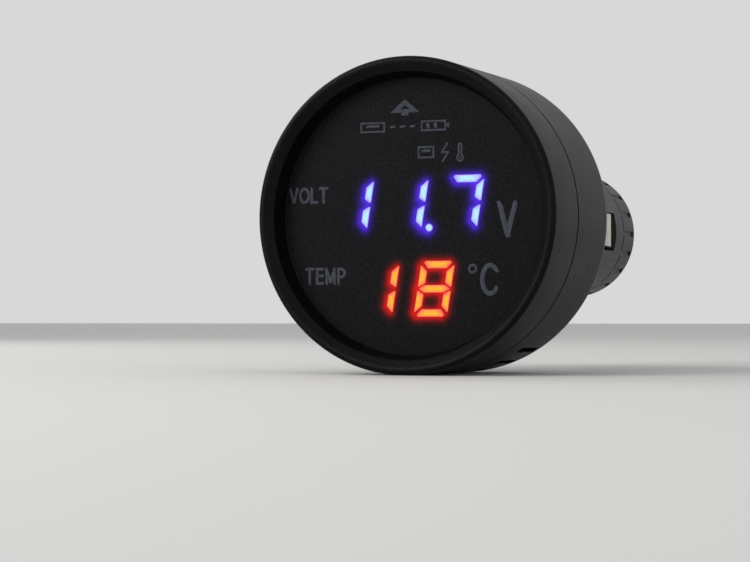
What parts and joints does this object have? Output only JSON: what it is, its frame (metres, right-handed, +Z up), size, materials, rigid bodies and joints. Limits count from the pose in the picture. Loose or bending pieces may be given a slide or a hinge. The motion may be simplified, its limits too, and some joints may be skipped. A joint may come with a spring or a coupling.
{
  "type": "socket charger with voltage and temperature dial",
  "caption": "Round-headed 12 V socket charger with a lit voltage and temperature dial, an upward port, a fused sprung-tip plug and side contacts.",
  "frame": {"origin": "on the plug's axis, at the shoulder that meets the socket's mouth", "axes": "+Y along the plug into the socket, the dial faces -Y; +Z up, where the port opens; +X to the right of the dial as it is read"},
  "size_m": [0.043, 0.0845, 0.043],
  "materials": {
    "head_plastic": "fine moulded texture",
    "dial_film": "fine matt print",
    "smoked_plate": "smoked, polished",
    "module_plastic": "moulded",
    "blue_light": "lit light window",
    "orange_light": "lit light window",
    "circuit_board": "solder resist over glass laminate",
    "chip_epoxy": "moulded epoxy",
    "resistor_body": "glazed ceramic",
    "screw_steel": "zinc plated",
    "bead_epoxy": "dipped epoxy",
    "port_shell": "nickel plated sheet",
    "port_tongue": "moulded white insulator",
    "gold_contact": "plated",
    "ferrite": "sintered ferrite",
    "copper_wire": "enamelled copper winding",
    "capacitor_can": "drawn can",
    "plug_plastic": "moulded",
    "contact_metal": "nickel plated spring strip",
    "tip_metal": "nickel plated, turned",
    "fuse_glass": "clear tube",
    "spring_steel": "drawn wire",
    "terminal_brass": "turned"
  },
  "bodies": {
    "meter_body": {"front_bezel": "head_plastic", "head_housing": "head_plastic", "dial_film": "dial_film", "dial_window": "smoked_plate", "volt_display": "module_plastic", "volt_segments": "blue_light", "temp_display": "module_plastic", "temp_segments": "orange_light", "display_board": "circuit_board", "display_chip": "chip_epoxy", "display_resistors": "resistor_body", "board_screws": "screw_steel", "thermistor": "bead_epoxy", "usb_shell": "port_shell", "usb_tongue": "port_tongue", "usb_contacts": "gold_contact", "header_strip": "chip_epoxy", "header_pins": "gold_contact", "power_board": "circuit_board", "inductor_core": "ferrite", "inductor_winding": "copper_wire", "capacitors": "capacitor_can", "regulator_chip": "chip_epoxy", "power_diode": "chip_epoxy", "power_resistors": "resistor_body", "plug_barrel": "plug_plastic", "barrel_screws": "screw_steel", "tip_spring": "spring_steel", "spring_terminal": "terminal_brass"},
    "nose_cap": {"nose_cap": "plug_plastic"},
    "tip": {"tip_contact": "tip_metal", "fuse_caps": "tip_metal", "fuse_glass": "fuse_glass", "fuse_wire": "gold_contact"},
    "left_contact": {"left_contact": "contact_metal"},
    "right_contact": {"right_contact": "contact_metal"}
  },
  "joints": [
    {"name": "nose_cap_release", "type": "slide", "parent": "meter_body", "child": "nose_cap", "axis": [0, 1, 0], "range_m": [0, 0.012]},
    {"name": "tip_press", "type": "slide", "parent": "nose_cap", "child": "tip", "axis": [0, -1, 0], "range_m": [0, 0.003], "stiffness_N_per_m": 600, "springref_m": -0.002, "deforming": ["tip_spring"]},
    {"name": "left_contact_press", "type": "hinge", "parent": "meter_body", "child": "left_contact", "pos_m": [-0.008, 0.0136, 0], "axis": [0, 0, -1], "range_deg": [0, 10], "stiffness_Nm_per_rad": 0.05, "springref_deg": -6.88},
    {"name": "right_contact_press", "type": "hinge", "parent": "meter_body", "child": "right_contact", "pos_m": [0.008, 0.0136, 0], "axis": [0, 0, 1], "range_deg": [0, 10], "stiffness_Nm_per_rad": 0.05, "springref_deg": -6.88}
  ]
}
